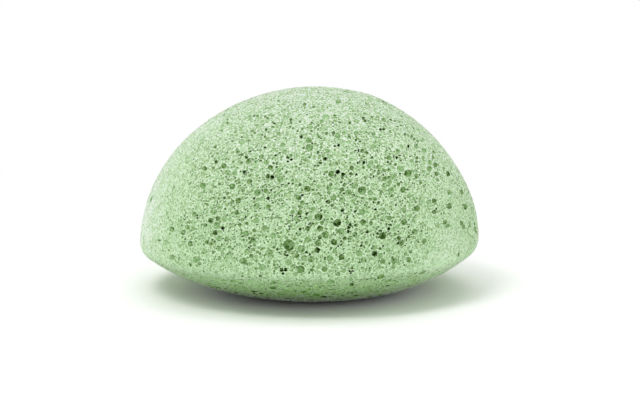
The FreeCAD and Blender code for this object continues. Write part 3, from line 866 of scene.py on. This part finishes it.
def pressed(points, normals, cells):
    """(points, finishes) of the skin with its cells pressed in.

    A point inside a cell's edge, at a share of the way from the middle to that edge, goes to that share of
    the angle from the bottom of a round cell to its mouth. The darker a cell, the larger that angle, so that
    a pale cell is a dimple and a dark one is as deep as it is wide. Windows are sunk further, and a lip
    stands round the mouth. The finishes are how far inside its cell's edge a point lies, in millimetres, how
    dark the cell is, and how far inside a window.
    """
    owner, away, edge = owners(wavered(points), cells)
    dark = cells.dark[owner]
    inside = np.flatnonzero(edge > 0)
    cell = owner[inside]
    normal = cells.normal[cell]
    mouth = cells.mouth[cell]
    share = away[inside] / (away[inside] + edge[inside])
    offset = points[inside] - cells.middle[cell]
    height = (offset * normal).sum(1, keepdims=True)
    radial = offset - height * normal
    opening = np.radians(PALE_OPENING + DARKER_OPENING * dark[inside])
    turn = share * opening
    wide = np.sin(turn) / np.sin(opening) / np.maximum(share, LEAST_SHARE)
    sunk = (np.cos(turn) - np.cos(opening)) / np.sin(opening)
    side = tangents(normal, np.zeros(len(cell)))
    right = (radial * side).sum(1) / mouth
    ahead = (radial * np.cross(normal, side)).sum(1) / mouth
    window = np.full(len(points), -1.0)
    window[inside] = windows(cells, cell, right, ahead)
    sunk += WINDOW_DEPTH * np.maximum(window[inside], 0)
    moved = points.copy()
    moved[inside] = cells.middle[cell] + radial * wide[:, None] + (height - (mouth * sunk)[:, None]) * normal
    lip = np.where(edge <= 0, smooth(-LIP_WIDTH, 0, edge), 0) * smooth(*LIP_DARK, dark)
    moved += normals * (LIP_HEIGHT * lip)[:, None]
    moved[:, 2] = np.maximum(moved[:, 2], 0)
    return moved, {"edge": edge * MM_PER_METRE, "dark": dark, "window": window}


def put_on_map(mesh, corners):
    """A map for baking, three of the lattice's faces across and two up, with a narrow border round each."""
    face = corners[..., 2]
    inner = 1 - 2 * MAP_BORDER
    across = (face % 3 + MAP_BORDER + inner * corners[..., 0]) / 3
    up = (face // 3 + MAP_BORDER + inner * corners[..., 1]) / 2
    flat = np.stack([across, up], axis=-1).astype(np.float32)
    mesh.uv_layers.new(name="OFBake").data.foreach_set("uv", flat.ravel())


def make_foam():
    """The sponge: the lattice on the settled profile, with its cells pressed in."""
    directions, quads, corners = ball_lattice(LATTICE_STEPS)
    along = np.arccos(np.clip(directions[:, 2], -1, 1))
    turn = np.arctan2(directions[:, 1], directions[:, 0])
    points, normals = on_skin(along, turn)
    cells = Cells()
    photographed_cells(cells, points, normals)
    solid_cells(cells)
    fine_cells(cells)
    print(f"{len(cells.mouth)} open cells")
    moved, finishes = pressed(points, normals, cells)

    mesh = bpy.data.meshes.new("konjac_foam")
    mesh.vertices.add(len(moved))
    mesh.vertices.foreach_set("co", moved.astype(np.float32).ravel())
    mesh.loops.add(quads.size)
    mesh.loops.foreach_set("vertex_index", quads.astype(np.int32).ravel())
    mesh.polygons.add(len(quads))
    mesh.polygons.foreach_set("loop_start", np.arange(0, quads.size, 4, dtype=np.int32))
    mesh.update(calc_edges=True)
    mesh.polygons.foreach_set("use_smooth", np.ones(len(quads), bool))
    leaning = leaning_at(along)
    finishes.update(bold=boldness(points), ridge=ridge(leaning), underside=underside(leaning))
    for name, values in finishes.items():
        mesh.attributes.new(name, "FLOAT", "POINT").data.foreach_set("value", values.astype(np.float32))
    put_on_map(mesh, corners)
    foam = bpy.data.objects.new("konjac_foam", mesh)
    bpy.context.scene.collection.objects.link(foam)
    return foam


class Shading:
    """The nodes of a material or of the world, with a short way to make each kind that is used here."""

    def __init__(self, owner):
        owner.use_nodes = True
        self.nodes, self.links = owner.node_tree.nodes, owner.node_tree.links

    def put(self, value, socket):
        """A link where the value is another node's output, and otherwise the value itself."""
        if isinstance(value, bpy.types.NodeSocket):
            self.links.new(value, socket)
        else:
            socket.default_value = value

    def node(self, kind, inputs=None, **settings):
        """A node with its settings, and then what goes into its inputs."""
        made = self.nodes.new(kind)
        for name, value in settings.items():
            setattr(made, name, value)
        for name, value in (inputs or {}).items():
            self.put(value, made.inputs[name])
        return made

    def attribute(self, name):
        """A value that the mesh holds."""
        return self.node("ShaderNodeAttribute", attribute_name=name).outputs["Fac"]

    def noise(self, place, width, **inputs):
        """A cloudy value from 0 to 1, with clouds of about a width."""
        inputs = {"Vector": place, "Scale": 1 / width, **inputs}
        return self.node("ShaderNodeTexNoise", inputs).outputs["Fac"]

    def maths(self, operation, first, second):
        """Two values put together by an operation."""
        return self.node("ShaderNodeMath", {0: first, 1: second}, operation=operation).outputs["Value"]

    def times(self, *values):
        """The product of values."""
        product = values[0]
        for value in values[1:]:
            product = self.maths("MULTIPLY", product, value)
        return product

    def span(self, value, taken, given=WHOLE, curve="LINEAR"):
        """The value carried from the two ends taken to the two ends given, and held between them."""
        ends = {"From Min": taken[0], "From Max": taken[1], "To Min": given[0], "To Max": given[1]}
        made = self.node("ShaderNodeMapRange", {"Value": value, **ends}, interpolation_type=curve)
        return made.outputs["Result"]

    def ramp(self, value, stops):
        """The colour between stops, each a value and a colour on a screen."""
        made = self.node("ShaderNodeValToRGB", {"Fac": value})
        elements = made.color_ramp.elements
        while len(elements) < len(stops):
            elements.new(0.5)
        for element, (place, colour) in zip(elements, stops):
            element.position = place
            element.color = srgb(*colour)
        return made.outputs["Color"]

    def mix(self, share, first, second, blend="MIX"):
        """The first colour, and by a share the second blended with it."""
        inputs = {"Factor": share, "A": first, "B": second}
        return self.node("ShaderNodeMix", inputs, data_type="RGBA", blend_type=blend).outputs["Result"]

    def seen_rays(self):
        """1 for the rays that show what is round the sponge: the camera's, mirrored ones and bent ones."""
        path = self.node("ShaderNodeLightPath").outputs
        turned = self.maths("MAXIMUM", path["Is Glossy Ray"], path["Is Transmission Ray"])
        return self.maths("MAXIMUM", path["Is Camera Ray"], turned)

    def show(self, share, first, second, output):
        """The first shader, and by a share the second, on the surface of an output."""
        choice = self.node("ShaderNodeMixShader", {"Fac": share, 1: first, 2: second})
        self.put(choice.outputs["Shader"], self.nodes[output].inputs["Surface"])


def froth(shading, place, width, deepest, rare):
    """(depth, distance from the middle) of sharp-edged cells of about a width. A power of an even draw for
    each cell gives its depth, so that few of them are deep."""
    cells = shading.node("ShaderNodeTexVoronoi", {"Vector": place, "Scale": 1 / width})
    drawn = shading.node("ShaderNodeSeparateColor", {"Color": cells.outputs["Color"]})
    few = shading.maths("POWER", drawn.outputs["Red"], rare)
    from_middle = cells.outputs["Distance"]
    return shading.times(few, deepest, shading.span(from_middle, FROTH_EDGE)), from_middle


def wall_shade(shading, place, edge, dark):
    """The painted shade on the wall of a pressed cell: as dark as the cell, less so away from the steep
    edge, with an uneven grain, and darker in its windows, where it stands for the dark cells behind."""
    # Painted shade: darker at the wall's steep edge than in its middle, and near black in its windows
    middle = shading.span(dark, MIDDLE_DARK, MIDDLE_SHADE)
    middle = shading.maths("ADD", middle, shading.span(dark, DEEPEST_DARK, DEEPEST_SHADE))
    grain = shading.span(shading.noise(place, GRAIN_WIDTH, Detail=2), GRAIN_RANGE, GRAIN_SHADE)
    wall = shading.times(dark, grain, shading.span(edge, WALL_EDGE_MM, (middle, EDGE_SHADE)))
    window = shading.span(shading.attribute("window"), WINDOW_EDGE)
    window = shading.times(shading.span(dark, WINDOW_DARK, WINDOW_SHADE), window)
    return shading.maths("ADD", wall, shading.times(window, shading.maths("SUBTRACT", 1.0, wall)))


def konjac_material():
    """Moist konjac foam: a pale mint skin with a fine froth, and green hollows with pale lips.

    The skin is paler where the foam is close, partly with painted haze, and with painted haze towards the
    crown and on the left flank and a painted highlight along the ridge. The belly has streaky painted shade,
    deeper low down by the foot.
    """
    material = bpy.data.materials.new("konjac_foam")
    shading = Shading(material)
    attribute, span, times, mix = shading.attribute, shading.span, shading.times, shading.mix
    place = shading.node("ShaderNodeTexCoord").outputs["Object"]
    edge, dark, bold = attribute("edge"), attribute("dark"), attribute("bold")
    on_ridge, below = attribute("ridge"), attribute("underside")

    wider, _ = froth(shading, place, *WIDE_FROTH)
    finest, from_middle = froth(shading, place, *FINE_FROTH)
    fine = times(shading.maths("MAXIMUM", wider, finest), bold, span(below, WHOLE, (1.0, FROTH_ON_BELLY)))
    fine = times(fine, span(on_ridge, WHOLE, (1.0, FROTH_ON_RIDGE)))
    inside = span(edge, HOLLOW_EDGE_MM)
    hollow = shading.maths("MAXIMUM", times(inside, wall_shade(shading, place, edge, dark)), fine)
    outside = shading.maths("SUBTRACT", 1.0, inside)
    # The lips pale with the darkness of their cell: partly pale foam wall, partly a painted glint by the
    # dark
    lip = times(span(edge, (-MM_PER_METRE * LIP_WIDTH, 0.0)), outside, span(dark, LIP_DARK, LIP_PALE_AND_GLINT))

    pale = srgb(*PALE_CREST_AND_GLINT)
    skin = shading.ramp(shading.noise(place, PATCH_WIDTH, Detail=3, Roughness=0.65), SKIN_STOPS)
    # The froth's crests turn pale: partly the foam's pale walls, partly painted glints
    skin = mix(span(from_middle, FROTH_CREST_AND_GLINT), skin, pale)
    # Paler skin where the foam is close, partly painted haze on the left flank
    closer_and_haze = span(bold, CLOSER_AND_HAZE_BOLD, CLOSER_AND_HAZE_PALE)
    # Painted haze: the skin turns paler and whiter towards the crown
    height = shading.node("ShaderNodeSeparateXYZ", {"Vector": place}).outputs["Z"]
    crown_haze = span(height, CROWN_HAZE_HEIGHTS, CROWN_HAZE_PALE)
    skin = mix(shading.maths("MAXIMUM", closer_and_haze, crown_haze), skin, srgb(*PALE_AND_HAZE_SKIN))
    # Painted highlight along the ridge: the skin there turns paler and greener
    skin = mix(span(on_ridge, WHOLE, RIDGE_HIGHLIGHT_PALE), skin, srgb(*RIDGE_HIGHLIGHT_SKIN))
    # Painted shade in the cells: the colour runs from the skin's through the hollows' greens to near black
    colour = mix(span(hollow, HOLLOW_SHADES), skin, shading.ramp(hollow, HOLLOW_SHADE_STOPS))
    colour = mix(span(lip, LIP_FULL), colour, pale)
    streaks = shading.noise(place, STREAK_WIDTH)
    # Painted shade on the belly: darker and greener, in streaks
    belly_shade = times(span(below, BELLY_SHADE_BELOW), span(streaks, STREAK_RANGE, BELLY_SHADE_STREAKS))
    colour = mix(belly_shade, colour, BELLY_SHADE_TINT, "MULTIPLY")
    # Deeper painted shade low down by the foot, in streaks
    foot_shade = times(span(below, FOOT_SHADE_BELOW), span(streaks, STREAK_RANGE, FOOT_SHADE_STREAKS))
    colour = mix(foot_shade, colour, FOOT_SHADE_TINT, "MULTIPLY")

    relief = {"Strength": FROTH_STRENGTH, "Distance": FROTH_DEPTH, "Height": fine}
    bump = shading.node("ShaderNodeBump", relief, invert=True)
    shader = shading.nodes["Principled BSDF"]
    shading.put(colour, shader.inputs["Base Color"])
    shading.put(bump.outputs["Normal"], shader.inputs["Normal"])
    for name, value in FOAM_FINISH.items():
        shader.inputs[name].default_value = value
    return material


def make_floor():
    """A plain white floor, one level square that keeps the sponge's shadow. To the rays that show it, it is
    lit white paper that turns to plain white further off; to bounced light it is grey under the sponge."""
    mesh = bpy.data.meshes.new("floor")
    corners = [(-FLOOR_HALF, -FLOOR_HALF, 0), (FLOOR_HALF, -FLOOR_HALF, 0)]
    corners += [(FLOOR_HALF, FLOOR_HALF, 0), (-FLOOR_HALF, FLOOR_HALF, 0)]
    mesh.from_pydata(corners, [], [(0, 1, 2, 3)])
    floor = bpy.data.objects.new("floor", mesh)
    bpy.context.scene.collection.objects.link(floor)
    material = bpy.data.materials.new("white_floor")
    shading = Shading(material)
    shading.nodes.remove(shading.nodes["Principled BSDF"])
    place = shading.node("ShaderNodeTexCoord").outputs["Object"]
    far = shading.node("ShaderNodeVectorMath", {0: place}, operation="LENGTH").outputs["Value"]
    seen = shading.seen_rays()
    grey = shading.span(far, FLOOR_RISES, FLOOR_GREYS)
    grey = shading.span(seen, WHOLE, (grey, FLOOR_WHITE))
    paper = shading.node("ShaderNodeBsdfDiffuse", {"Color": grey})
    white = shading.node("ShaderNodeEmission")
    fade = shading.times(shading.span(far, FLOOR_FADES, curve="SMOOTHSTEP"), seen)
    shading.show(fade, paper.outputs["BSDF"], white.outputs["Emission"], "Material Output")
    mesh.materials.append(material)


def light_room():
    """A white room that lights softly from all round and shows plain white, and large soft lamps that point
    at the middle of the sponge."""
    world = bpy.data.worlds.new("white_room")
    bpy.context.scene.world = world
    shading = Shading(world)
    fill = shading.nodes["Background"]
    shading.put(WHITE, fill.inputs["Color"])
    shading.put(ROOM_LIGHT, fill.inputs["Strength"])
    white = shading.node("ShaderNodeBackground", {"Color": WHITE, "Strength": 1.0})
    backgrounds = fill.outputs["Background"], white.outputs["Background"]
    shading.show(shading.seen_rays(), *backgrounds, "World Output")
    for name, place, width, power in LAMPS:
        lamp = bpy.data.lights.new(name, "AREA")
        lamp.size = width
        lamp.energy = power
        holder = bpy.data.objects.new(name, lamp)
        bpy.context.scene.collection.objects.link(holder)
        holder.location = place
        aim = np.array([0, 0, HEIGHT / 2]) - np.array(place)
        tip = math.atan2(math.hypot(aim[0], aim[1]), -aim[2])
        holder.rotation_euler = (tip, 0, math.atan2(-aim[0], aim[1]))


def place_camera():
    """The photograph's camera: its stand, its lens from the pixels that a metre covers, and its framing by
    shift."""
    view = bpy.data.cameras.new("photo_camera")
    camera = bpy.data.objects.new("photo_camera", view)
    bpy.context.scene.collection.objects.link(camera)
    camera.location = CAMERA_DISTANCE * TO_CAMERA + np.array([0, 0, HEIGHT / 2])
    camera.rotation_euler = (math.pi / 2 - CAMERA_RISE, 0, 0)
    view.sensor_width = SENSOR_WIDTH_MM
    view.sensor_fit = "HORIZONTAL"
    view.lens = SENSOR_WIDTH_MM * PX_PER_METRE * CAMERA_DISTANCE / PHOTO_WIDTH_PX
    view.shift_x = (PHOTO_WIDTH_PX / 2 - SPONGE_MIDDLE_PX[0]) / PHOTO_WIDTH_PX
    view.shift_y = (SPONGE_MIDDLE_PX[1] - PHOTO_HEIGHT_PX / 2) / PHOTO_WIDTH_PX
    view.clip_start = NEAREST_SEEN
    bpy.context.scene.camera = camera


foam = make_foam()
foam.data.materials.append(konjac_material())
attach(foam, "root")
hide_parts("sponge_body")
make_floor()
light_room()
place_camera()
bpy.context.scene.view_settings.view_transform = "Standard"
